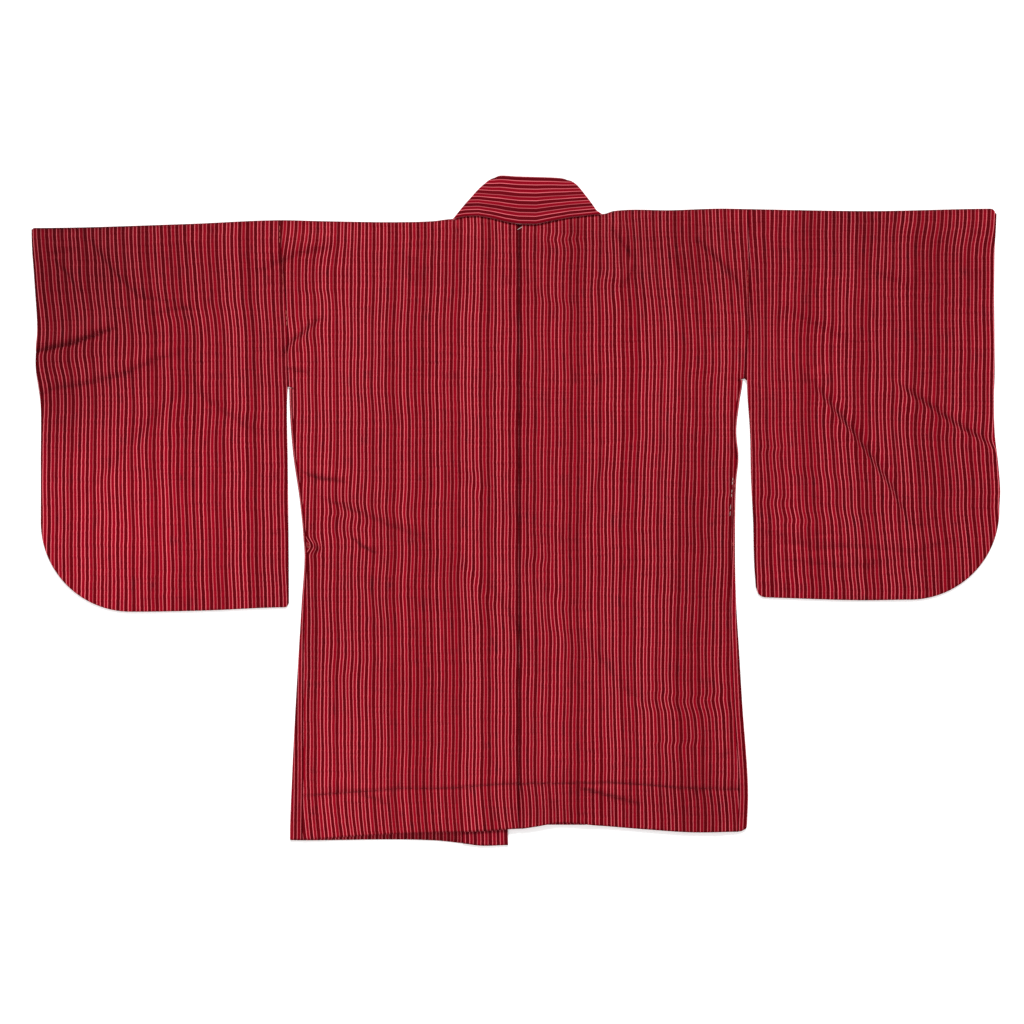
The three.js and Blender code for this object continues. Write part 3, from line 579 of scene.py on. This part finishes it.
def body_half(side, name, material):
    """A length of cloth folded over the shoulder: front below, back above."""
    curves = side_curves(side)
    hand = side["hand"]
    arm_end = side["armhole_end"]
    skirt_top = arm_end - UNDERARM_STEP
    hem_side = side["back_hem"][-1][1]
    front_hem_side = side["front_hem"][-1][1]
    centre = hand * BACK_SEAM_X
    seam_phase = BACK_SEAM_X + hand * SEAM_STRIPE
    neck = side["neck_point"][0]
    arm_top = float(curves["armhole"](curves["arm_row"](0)))
    neck_columns = steps(neck - centre)
    shoulder_columns = steps(arm_top - neck)
    arm_length = float(curves["arm_row"](0)) - arm_end
    skirt_length = skirt_top - hem_side

    def row_heights(row, arm_rows, skirt_rows, top, hem):
        """Each row's height, whether it is beside the sleeve, the seam there, and its share of the skirt."""
        turned = row < TURN_ROWS
        on_arm = row <= TURN_ROWS + arm_rows
        arm_share = np.clip((row - TURN_ROWS) / arm_rows, 0, 1)
        skirt_share = np.clip((row - TURN_ROWS - arm_rows - 1) / skirt_rows, 0, 1)
        inset = EDGE_INSETS[TURN_ROWS - np.minimum(row, TURN_ROWS)]
        arm_y = lerp(top - EDGE_INSETS[0], arm_end, arm_share)
        y = np.where(turned, top - inset, np.where(on_arm, arm_y, lerp(skirt_top, hem, skirt_share)))
        arm_edge = curves["armhole"](curves["arm_row"](arm_share))
        return y, on_arm, arm_edge, skirt_share

    def back(column, row):
        arm_rows, skirt_rows = steps(arm_length), steps(skirt_length)
        top_out = np.where(
            column <= neck_columns,
            lerp(centre, neck, column / neck_columns),
            lerp(neck, arm_top, (column - neck_columns) / shoulder_columns),
        )
        share = (top_out - centre) / (arm_top - centre)
        open_neck = column < neck_columns
        top = np.where(open_neck, neck_seam(top_out * hand), curves["shoulder"](top_out))
        hem = curves["back_hem"](lerp(centre, curves["side_seam"](hem_side), share))
        y, on_arm, arm_edge, skirt_share = row_heights(row, arm_rows, skirt_rows, top, hem)
        skirt_edge = curves["side_seam"](lerp(skirt_top, hem_side, skirt_share))
        edge = np.where(on_arm, arm_edge, skirt_edge)
        out = lerp(centre, edge, share)
        x = out * hand
        from_side = edge - out + np.maximum(0, y - arm_end)
        rise = smoothstep(np.minimum(top - y, from_side), 0, FOLD_RISE_LENGTH)
        height, shade = cloth_height(x, y, rise)
        centre_dip, arm_dip = dip(out - centre), dip(edge - out) * (y > arm_end - SEAM_OVERRUN)
        neck_dip = dip(top - y) * open_neck
        z = UPPER_FACE + STRIP_CLIMB * strip_share(side, out, y) + height - centre_dip - arm_dip - neck_dip
        z = z - np.where(open_neck, 0, EDGE_DROPS[TURN_ROWS - np.minimum(row, TURN_ROWS)])
        turn_up = curve(TURN_UP)(x)
        groove = np.exp(-(((y - turn_up) / GROOVE_WIDTH) ** 2))
        z = z - GROOVE_DEPTH * groove + HEM_RISE * smoothstep(turn_up - y, 0, HEM_RISE_LENGTH)
        # Painted shade in the dips of the back seam, the armhole seam and the neck seam
        sewn = CENTRE_SEAM_SHADE * centre_dip + SIDE_SEAM_SHADE * (arm_dip + neck_dip)
        # Painted shade where the cloth rolls over the shoulder
        roll_shade = np.where(open_neck, 0, EDGE_SHADE * np.exp(-(top - y) / EDGE_ROLL))
        # Painted shade in the turn-up's groove, on top of the creases' and broad patches' painted shade
        shade = shade + sewn + GROOVE_SHADE * groove + roll_shade
        below = np.clip((turn_up - y) / (turn_up - hem), 0, 1)
        # The right half's stripes turn at once below the line, the left half's nearer to the hem
        lean = curve(HEM_LEAN)(x) * np.where(hand > 0, below * (2 - below), below**1.5)
        across = x - seam_phase + stripe_pull(x, y, PULLS + BODY_PULLS) - lean
        return x, y, z, across, shade

    def front(column, row):
        arm_rows, skirt_rows = steps(arm_length, PLAIN_STEP), steps(skirt_length, PLAIN_STEP)
        share = column / shoulder_columns
        top = curves["shoulder"](lerp(neck, arm_top, share))
        seam_hem = strip_edges(side, front_hem_side)[0]
        side_hem = curves["side_seam"](front_hem_side)
        hem = curves["front_hem"](lerp(seam_hem, side_hem, share))
        y, on_arm, arm_edge, skirt_share = row_heights(row, arm_rows, skirt_rows, top, hem)
        skirt_edge = curves["side_seam"](lerp(skirt_top, front_hem_side, skirt_share))
        collar_edge = strip_edges(side, y)[0]
        out = lerp(collar_edge, np.where(on_arm, arm_edge, skirt_edge), share)
        out = np.where(row == 0, lerp(neck, arm_top, share), out)
        climb = STRIP_CLIMB * strip_share(side, out, y)
        z = np.where((row > 0) & (row < TURN_ROWS), EDGE_DROPS[1], 0)
        z = np.where(row == 0, UPPER_FACE + climb - EDGE_DROPS[-1], z)
        return out * hand, y, z, out * hand + FRONT_SHIFT, 0

    bm = new_cloth()
    fine_rows = TURN_ROWS + steps(arm_length) + 1 + steps(skirt_length)
    plain_rows = TURN_ROWS + steps(arm_length, PLAIN_STEP) + 1 + steps(skirt_length, PLAIN_STEP)
    add_leaf(bm, neck_columns + shoulder_columns, fine_rows, back)
    add_leaf(bm, shoulder_columns, plain_rows, front)
    return finish_cloth(bm, name, CLOTH, material)


def sleeve(side, name, material):
    """A bag: folded along the top, sewn below and at the lower cuff, open at the hand and the body."""
    curves = side_curves(side)
    hand = side["hand"]
    arm_end = side["armhole_end"]
    corner_out, corner_y = side["corner"]
    edge_in = EDGE_INSETS[0]
    inner_end = float(curves["sleeve_inner"](side["sleeve_inner"][0][0]))
    straight = steps(corner_out - inner_end)
    round_columns = steps(CORNER_RADIUS * math.pi / 2)
    main_columns = straight + round_columns
    middle_rows = steps(side["shoulder"][-1][1] + SLEEVE_DROP)
    thread_top = arm_end + THREAD_TOP
    rows = TURN_ROWS + middle_rows + TURN_ROWS
    columns = main_columns + TURN_ROWS

    def inner_edge(y):
        """The edge towards the body: sewn above the armhole's end, loose below it."""
        return np.where(y >= arm_end, curves["armhole"](y), curves["sleeve_inner"](y))

    def thread_line(y):
        """The inner edge without its step at the underarm."""
        share = (thread_top - y) / (thread_top + SLEEVE_DROP)
        return lerp(inner_edge(thread_top), inner_end, share)

    def across_to(y, share, edge):
        """The place at a share of the way from the inner edge to another edge."""
        off = (inner_edge(y) - thread_line(y)) * np.maximum(0, 1 - UNDERARM_SPREAD * share)
        return lerp(thread_line(y), edge, share) + off

    def plan(column, row):
        """Each point's place, its drop at an edge, its freedom to rise, its thread and its seam's dip."""
        main = np.minimum(column, main_columns)
        past = column - main
        angle = np.clip((main - straight) / round_columns, 0, 1) * math.pi / 2
        in_x, in_y = -np.sin(angle), np.cos(angle)
        round_out = corner_out - CORNER_RADIUS * in_x
        end_out = np.where(main <= straight, lerp(inner_end, corner_out, main / straight), round_out)
        bottom = curves["sleeve_bottom"](end_out) + rounding(end_out - inner_end, side["inner_corner"])
        end_y = np.where(main <= straight, bottom, corner_y - CORNER_RADIUS * in_y)
        turn_out, turn_y = end_out + edge_in * in_x, end_y + edge_in * in_y
        share = (turn_out - thread_line(turn_y)) / (curves["cuff"](turn_y) - edge_in - thread_line(turn_y))
        share = np.where(column == 0, 0, share)

        from_top = np.clip(TURN_ROWS - row, 0, TURN_ROWS)
        from_end = np.clip(row - TURN_ROWS - middle_rows, 0, TURN_ROWS)
        cuff_top = curves["cuff"](side["cuff"][-1][0])
        top_out = lerp(inner_edge(thread_top), cuff_top, share)
        top = curves["shoulder"](top_out) - rounding(cuff_top - top_out, side["cuff_corner"])
        middle = np.clip((row - TURN_ROWS) / middle_rows, 0, 1)
        y = lerp(top - edge_in, turn_y, middle)
        y = np.where(from_top > 0, top - EDGE_INSETS[from_top], y)
        out = across_to(y, share, curves["cuff"](y) - edge_in)
        at_end = from_end > 0
        out = np.where(at_end, end_out + EDGE_INSETS[from_end] * in_x, out)
        y = np.where(at_end, end_y + EDGE_INSETS[from_end] * in_y, y)
        sewn = 1 - smoothstep(y, side["slit_end"], side["slit_end"] + SLIT_RISE)
        beyond = past > 0
        cuff_step = np.maximum(past, from_end)
        out = np.where(beyond, curves["cuff"](y) - EDGE_INSETS[cuff_step], out)
        drop = np.maximum(EDGE_DROPS[from_top], EDGE_DROPS[from_end])
        drop = np.where(beyond, np.maximum(EDGE_DROPS[cuff_step] * sewn, EDGE_DROPS[from_top]), drop)

        in_corner = (out > corner_out) & (y < corner_y)
        from_bottom = np.where(
            in_corner,
            CORNER_RADIUS - np.hypot(out - corner_out, y - corner_y),
            y - curves["sleeve_bottom"](out),
        )
        from_cuff = curves["cuff"](y) - out + np.maximum(0, y - side["slit_end"])
        nearest = np.minimum(np.minimum(top - y, from_bottom), from_cuff)
        width = curves["cuff"](WIDTH_HEIGHT) - inner_edge(WIDTH_HEIGHT)
        thread_share = (out - thread_line(y)) / (curves["cuff"](y) - edge_in - thread_line(y))
        seam_dip = np.where(y >= arm_end, dip(out - inner_edge(y)), 0)
        rise = smoothstep(nearest, 0, FOLD_RISE_LENGTH)
        return out * hand, y, drop, rise, SLEEVE_STRETCH * width * thread_share * hand, seam_dip

    def upper(column, row):
        x, y, drop, rise, across, seam_dip = plan(column, row)
        height, shade = cloth_height(x, y, rise)
        top = curves["shoulder"](np.abs(x))
        # Painted shade where the cloth rolls over the sleeve's top, and in the dip of the armhole's seam
        roll_shade = EDGE_SHADE * np.exp(-np.maximum(0, top - y) / EDGE_ROLL)
        shade = shade + SLEEVE_SEAM_SHADE * seam_dip + roll_shade
        return x, y, UPPER_FACE - drop + height - seam_dip, across + stripe_pull(x, y, PULLS), shade

    def under(column, row):
        x, y, drop, _, across, _ = plan(column, row)
        return x, y, drop, across, 0

    bm = new_cloth()
    add_leaf(bm, columns, rows, upper)
    add_leaf(bm, columns, rows, under)
    return finish_cloth(bm, name, CLOTH, material)


def gusset(side, name, material):
    """A narrow strip folded lengthwise: its edges are sewn to the back above and to the front below."""
    curves = side_curves(side)
    hand = side["hand"]
    skirt_top = side["armhole_end"] - UNDERARM_STEP
    hem_side = side["back_hem"][-1][1]
    front_hem_side = side["front_hem"][-1][1]
    rows = steps(skirt_top - hem_side)
    # Columns from the back seam over the fold to the front seam
    inset_row = np.array([0, 0, *EDGE_INSETS, *EDGE_INSETS[-2::-1], 0, 0])
    upper_side = [UPPER_FACE, UPPER_FACE, *(UPPER_FACE - EDGE_DROPS)]
    height_row = np.array([*upper_side, *EDGE_DROPS[-2::-1], 0, 0])
    last = len(inset_row) - 1

    def place(column, row):
        from_seam = np.minimum(column, last - column)
        share = row / rows
        back_y = lerp(skirt_top, hem_side, share)
        front_y = lerp(skirt_top, front_hem_side, share)
        y = lerp(back_y, front_y, column / last)
        fold = curves["side_fold"](y)
        from_fold = np.where(from_seam < 2, side["hem_corner"], inset_row[column])
        y = y + share**HEM_CORNER_POWER * rounding(from_fold, side["hem_corner"])
        seam = curves["side_seam"](y)
        middle = (seam + fold - EDGE_INSETS[0]) / 2
        out = np.where(from_seam == 1, middle, fold - inset_row[column])
        out = np.where(from_seam == 0, seam, out)
        across = np.where(column <= last / 2, out - seam, 2 * fold - out - seam)
        puff_y, reach, rise = side["puff"]
        puff = rise * np.exp(-(((y - puff_y) / reach) ** 2)) * ((column > 0) & (column <= last / 2))
        # Painted shade: the whole strip a little darker, and more in the pinches at both ends of its bulge
        pinch_painted_shade = sum(np.exp(-(((y - puff_y + end) / PINCH_WIDTH) ** 2)) for end in (-reach, reach))
        shade = GUSSET_SHADE + PINCH_SHADE * pinch_painted_shade
        return out * hand, y, height_row[column] + puff, across * hand, shade

    bm = new_cloth()
    add_leaf(bm, last, rows, place)
    return finish_cloth(bm, name, CLOTH, material)


def corner_drop(share):
    """How far the collar's upper corners go down, at a share of the way to the free edge."""
    return COLLAR_CORNER_DROP * smoothstep(share, COLLAR_CORNER_SHARE, 1)


def collar(name, material):
    """One doubled strip: up the left front, over a mitred fold, round the neck, over another and down."""
    down_rows = steps(COLLAR_LENGTH)
    neck_rows = steps(NECK_LENGTH)
    across_columns = steps(COLLAR_WIDTH)
    rows = down_rows + 1 + neck_rows + 1 + down_rows

    def strip_line(side, share):
        """The ends of a strip's lengthwise line, at a share of the way from its seam to its free edge."""
        hem = side["collar_hem"]
        neck_out, neck_y = side["neck_point"]
        corner_out, corner_y = side["collar_corner"]
        bow = curve(side["collar_bow"])(share)
        return {
            "neck_x": (lerp(neck_out, corner_out, share) + bow) * side["hand"],
            "neck_y": lerp(neck_y, corner_y, share) - corner_drop(share),
            "hem_x": lerp(hem["seam"], hem["free"], share) * side["hand"],
            "hem_y": curve(side["front_hem"])(lerp(hem["seam"], hem["free"], share)),
        }

    def place(column, row):
        share = column / across_columns
        left, right = strip_line(LEFT, share), strip_line(RIGHT, share)
        neck_share = np.clip((row - down_rows - 1) / neck_rows, 0, 1)
        neck_x = lerp(left["neck_x"] + NECK_TURN, right["neck_x"] - NECK_TURN, neck_share)
        from_corner = np.minimum(neck_x - left["neck_x"], right["neck_x"] - neck_x)
        drop = corner_drop(share) * np.exp(-((from_corner / COLLAR_CORNER) ** 2))
        neck_y = lerp(neck_seam(neck_x), collar_top(neck_x), share) - drop
        spots = []
        for line, past in ((left, down_rows - row), (right, row - rows + down_rows)):
            along = np.clip(past / down_rows, 0, 1)
            y = lerp(line["neck_y"] - NECK_TURN, line["hem_y"], along)
            down = (line["neck_y"] - y) / (line["neck_y"] - line["hem_y"])
            spots.append((lerp(line["neck_x"], line["hem_x"], down), y))
        on_left, on_right = row <= down_rows, row >= rows - down_rows
        x = np.where(on_left, spots[0][0], np.where(on_right, spots[1][0], neck_x))
        y = np.where(on_left, spots[0][1], np.where(on_right, spots[1][1], neck_y))
        z = np.where(on_left | on_right, 0, 2 * COLLAR_CLOTH + LEAF_GAP)
        across = COLLAR_STRIPES * STRIPE_PERIOD * share
        # Painted shade along the neck seam and towards the collar's free edge
        seam_shade = COLLAR_SEAM_SHADE * np.exp(-share * COLLAR_WIDTH / EDGE_ROLL)
        edge_shade = COLLAR_EDGE_SHADE * smoothstep(share, COLLAR_EDGE_SHARE, 1)
        return x, y, z, across, seam_shade + edge_shade

    bm = new_cloth()
    add_leaf(bm, across_columns, rows, place)
    return finish_cloth(bm, name, COLLAR_CLOTH, material)


def stitches(name, cloths, rows, material):
    """Small raised stitches on the upper face of the cloths, one for each row of ends and thickness."""
    sewn = bmesh.new()
    ground = bmesh.new()
    for cloth in cloths:
        ground.from_mesh(cloth.data)
    faces = BVHTree.FromBMesh(ground)
    for x0, y0, x1, y1, thick in rows:
        ends = []
        for x, y in ((x0, y0), (x1, y1)):
            ends.append(faces.ray_cast(Vector((x * MM, y * MM, 1)), Vector((0, 0, -1)))[0])
        middle = (ends[0] + ends[1]) / 2
        run = ends[1] - ends[0]
        turn = run.to_track_quat("X", "Z").to_matrix().to_4x4()
        size = Matrix.Diagonal((run.length / 2, thick / 2 * MM, thick / 2 * MM, 1))
        place = Matrix.Translation(middle + Vector((0, 0, thick / 4 * MM))) @ turn @ size
        bmesh.ops.create_uvsphere(sewn, u_segments=8, v_segments=6, radius=1, matrix=place)
    ground.free()
    piece = add_object(sewn, name, material)
    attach(piece, "root")


def stitch_rows(runs):
    """The rows for stitches from runs of them."""
    rows = []
    for line, step, length, thick in runs:
        points = np.array(line, float)
        travelled = np.concatenate([[0], np.cumsum(np.hypot(*np.diff(points, axis=0).T))])
        for start in np.arange(step / 2, travelled[-1] - length, step):
            spots = [np.interp([start, start + length], travelled, points[:, axis]) for axis in (0, 1)]
            rows.append((spots[0][0], spots[1][0], spots[0][1], spots[1][1], thick))
    return rows


class Signal:
    """A socket that takes part in Python expressions."""

    def __init__(self, finish, socket):
        self.finish = finish
        self.socket = socket

    def math(self, operation, *values):
        sockets = dict(enumerate(values))
        return self.finish.node("ShaderNodeMath", {"operation": operation}, sockets)

    def __add__(self, other):
        return self.math("ADD", self, other)

    def __sub__(self, other):
        return self.math("SUBTRACT", self, other)

    def __rsub__(self, other):
        return self.math("SUBTRACT", other, self)

    def __mul__(self, other):
        return self.math("MULTIPLY", self, other)

    def fraction(self):
        return self.math("FRACT", self)

    def whole(self):
        return self.math("FLOOR", self)

    def size(self):
        return self.math("ABSOLUTE", self)

    def held(self):
        return self.math("MINIMUM", self.math("MAXIMUM", self, 0.0), 1.0)


class Finish:
    """A material, its nodes and the ways to mix its colours."""

    def __init__(self, name):
        self.material = bpy.data.materials.new(name)
        self.material.use_nodes = True
        self.tree = self.material.node_tree
        self.tree.nodes.clear()

    def node(self, kind, settings=(), sockets=(), output=0):
        made = self.tree.nodes.new(kind)
        for key, value in dict(settings).items():
            setattr(made, key, value)
        for key, value in dict(sockets).items():
            if isinstance(value, Signal):
                self.tree.links.new(value.socket, made.inputs[key])
            else:
                made.inputs[key].default_value = value
        return Signal(self, made.outputs[output]) if made.outputs else None

    def mix(self, mask, low, high):
        return self.node("ShaderNodeMix", {"data_type": "RGBA"}, {0: mask, 6: low, 7: high}, output=2)

    def noise(self, place, scale, detail=2.0):
        return self.node("ShaderNodeTexNoise", {}, {"Vector": place, "Scale": scale, "Detail": detail})

    def done(self, **sockets):
        names = {key.replace("_", " "): value for key, value in sockets.items()}
        shader = self.node("ShaderNodeBsdfPrincipled", {}, names)
        self.node("ShaderNodeOutputMaterial", {}, {"Surface": shader})
        return self.material


def dye(red, green, blue):
    """A colour as seen on screen, 0 to 255, made linear."""
    shares = [part / 255 for part in (red, green, blue)]
    linear = [part / 12.92 if part < 0.0404 else ((part + 0.055) / 1.055) ** 2.4 for part in shares]
    return (*linear, 1)


DARK_HALF = 0.225  # half the width of a dark stripe, as a share of the period
CRIMSON_HALF = 0.16
PINK_HALF = 0.044
STRIPE_BLUR = 0.03
STRIPE_WANDER = 0.3  # of a period, over which the stripes' places wander
LEAST_LIGHT = 0.04  # what is left of the light in the deepest shade
RED_SHEEN = (0.85, 0.12, 0.16, 1)
DEEP_DYE = (0.035, 0.001, 0.003, 1)  # the darkest yarn, used for the dark flecks


def striped_cloth(name, dark, crimson, pink, phase):
    """Silk with dark and crimson stripes and a thin pink line between any two, uneven as hand-dyed yarn; the
    painted shade and painted light that its points carry darken and lighten its colour.
    """
    finish = Finish(name)
    thread = finish.node("ShaderNodeAttribute", {"attribute_name": "thread"}, {}, output=1)
    across, along, shade = (
        finish.node("ShaderNodeSeparateXYZ", {}, {0: thread}, axis) for axis in (0, 1, 2)
    )

    def drawn(wide, long):
        """Noise that is drawn out, with so many waves in a metre across and along the threads."""
        place = finish.node("ShaderNodeCombineXYZ", {}, {0: across * wide, 1: along * long})
        return finish.noise(place, 1.0)

    crinkle = drawn(24.0, 150.0)
    wander = (drawn(45.0, 1.2) - 0.5) * STRIPE_WANDER
    count = (across + (crinkle - 0.5) * CRINKLE_PULL) * (1 / (STRIPE_PERIOD * MM)) + wander + phase

    def band(centre, half):
        """A soft-edged line round a place in the stripes' period, so wide on each side."""
        off = ((count - (centre - 0.5)).fraction() - 0.5).size()
        return ((off * -1.0 + (half + STRIPE_BLUR / 2)) * (1 / STRIPE_BLUR)).held()

    def each(number, seed):
        """A number of its own for each stripe."""
        place = number.whole() + seed
        return finish.node("ShaderNodeTexWhiteNoise", {"noise_dimensions": "1D"}, {"W": place})

    edge = DARK_HALF + PINK_HALF
    first, second = band(edge, PINK_HALF), band(1 - edge, PINK_HALF)
    slub = drawn(900.0, 55.0)
    ground = finish.mix(band(0.5, CRIMSON_HALF + STRIPE_BLUR / 2), dark, crimson)
    faded = drawn(110.0, 9.0) * each(count * 2 + 0.5, 7.0) * 0.7
    ground = finish.mix(faded, ground, finish.mix(0.5, dark, crimson))
    flecks = ((drawn(170.0, 38.0) - 0.56) * 5.0).held() * 0.6
    ground = finish.mix(flecks, ground, DEEP_DYE)
    lines = first * (each(count, 0.2) * 0.7 + 0.5) + second * (each(count, 40.2) * 0.7 + 0.4)
    worn = (slub * 0.8 + 0.6) * (drawn(9.0, 2.0) * 0.9 + 0.6)
    colour = finish.mix((lines * worn).held(), ground, pink)
    # Painted shade and painted light: the colour is scaled by the shade each point carries, from creases,
    # seams, the turn-up's groove, rolled edges and broad patches
    lit = (1.0 - shade) * (1 - LEAST_LIGHT) + LEAST_LIGHT
    colour = finish.node("ShaderNodeVectorMath", {"operation": "SCALE"}, {0: colour, "Scale": lit})
    rib = drawn(160.0, 1500.0)
    height = rib * 0.5 + slub * 0.6 + crinkle * 2.4
    bump = finish.node("ShaderNodeBump", {}, {"Strength": 0.5, "Distance": 0.0012, "Height": height})
    return finish.done(
        Base_Color=colour,
        Roughness=slub * 0.2 + 0.5,
        Normal=bump,
        Specular_IOR_Level=0.2,
        Specular_Tint=RED_SHEEN,
        Sheen_Weight=0.07,
        Sheen_Roughness=0.45,
        Sheen_Tint=RED_SHEEN,
    )


def thread_finish(name, colour):
    """Sewing thread of silk, with a twist too fine to model."""
    finish = Finish(name)
    place = finish.node("ShaderNodeTexCoord", {}, {}, output=3)
    twist = finish.noise(place, 2600.0)
    worn = finish.mix(twist * 0.5, colour, tuple(c * 0.6 for c in colour[:3]) + (1,))
    bump = finish.node("ShaderNodeBump", {}, {"Strength": 0.4, "Distance": 0.0003, "Height": twist})
    return finish.done(Base_Color=worn, Roughness=0.6, Normal=bump, Specular_IOR_Level=0.15)


def add_floor():
    bm = bmesh.new()
    bmesh.ops.create_grid(bm, x_segments=1, y_segments=1, size=6)
    paper = Finish("pale paper").done(
        Base_Color=(0.93, 0.93, 0.93, 1),
        Roughness=0.9,
        Emission_Color=(1, 1, 1, 1),
        Emission_Strength=0.32,
    )
    add_object(bm, "floor", paper)


def add_light(name, place, size, power):
    lamp = bpy.data.lights.new(name, "AREA")
    lamp.shape = "DISK"
    lamp.size = size
    lamp.energy = power
    light = bpy.data.objects.new(name, lamp)
    turn = Vector(place).to_track_quat("Z", "Y").to_matrix().to_4x4()
    light.matrix_world = Matrix.Translation(place) @ turn
    bpy.context.scene.collection.objects.link(light)


def add_camera():
    """Straight above, looking down, with the collar towards the top of the picture."""
    lens = bpy.data.cameras.new("camera")
    lens.lens = 70
    lens.sensor_width = 36
    camera = bpy.data.objects.new("camera", lens)
    camera.location = (*PICTURE_MIDDLE, PICTURE_WIDTH * lens.lens / lens.sensor_width)
    bpy.context.scene.collection.objects.link(camera)
    bpy.context.scene.camera = camera


body_silk = striped_cloth("body silk", dye(94, 0, 7), dye(142, 2, 24), dye(236, 112, 121), 0.0)
sleeve_silk = striped_cloth("sleeve silk", dye(88, 0, 7), dye(136, 2, 23), dye(228, 106, 115), 0.0)
collar_silk = striped_cloth("collar silk", dye(86, 0, 9), dye(134, 2, 24), dye(228, 106, 116), 0.32)

cloths = [
    (body_half(LEFT, "body_left", body_silk), (0.306, 1.60), 0.386, ["body_right", "sleeve_left"]),
    (body_half(RIGHT, "body_right", body_silk), (0.294, 1.59), 0.367, ["body_left"]),
    (sleeve(LEFT, "sleeve_left", sleeve_silk), (0.328, 1.00), 0.309, ["body_left"]),
    (sleeve(RIGHT, "sleeve_right", sleeve_silk), (0.328, 1.00), 0.308, ["body_right"]),
    (gusset(LEFT, "machi_left", body_silk), (0.033, 0.578), 0.009, ["body_left"]),
    (gusset(RIGHT, "machi_right", body_silk), (0.033, 0.578), 0.0089, ["body_right"]),
    (collar("collar", collar_silk), (0.058, 1.79), 0.099, ["body_left"]),
]

pieces = [piece for piece, *_ in cloths]
white_thread = thread_finish("white thread", dye(206, 190, 184))
rose_thread = thread_finish("rose thread", dye(184, 88, 80))
dark_thread = thread_finish("dark thread", dye(92, 6, 16))
stitches("basting", pieces, [SEAM_TOP_STITCH, *stitch_rows(BASTING_RUNS)], white_thread)
stitches("loose_stitches", pieces, stitch_rows(LOOSE_RUNS), rose_thread)
stitches("hem_stitches", pieces, stitch_rows(HEM_RUNS), dark_thread)

add_floor()
add_light("window", (0.6, 7.0, 5.0), 2.8, 760)
add_light("fill", (-1.8, -2.6, 3.0), 2.0, 40)
world = bpy.data.worlds.new("studio")
bpy.context.scene.world = world
world.use_nodes = True
background = world.node_tree.nodes["Background"]
background.inputs["Color"].default_value = (1, 1, 1, 1)
background.inputs["Strength"].default_value = 0.48
bpy.context.scene.view_settings.view_transform = "Standard"
add_camera()
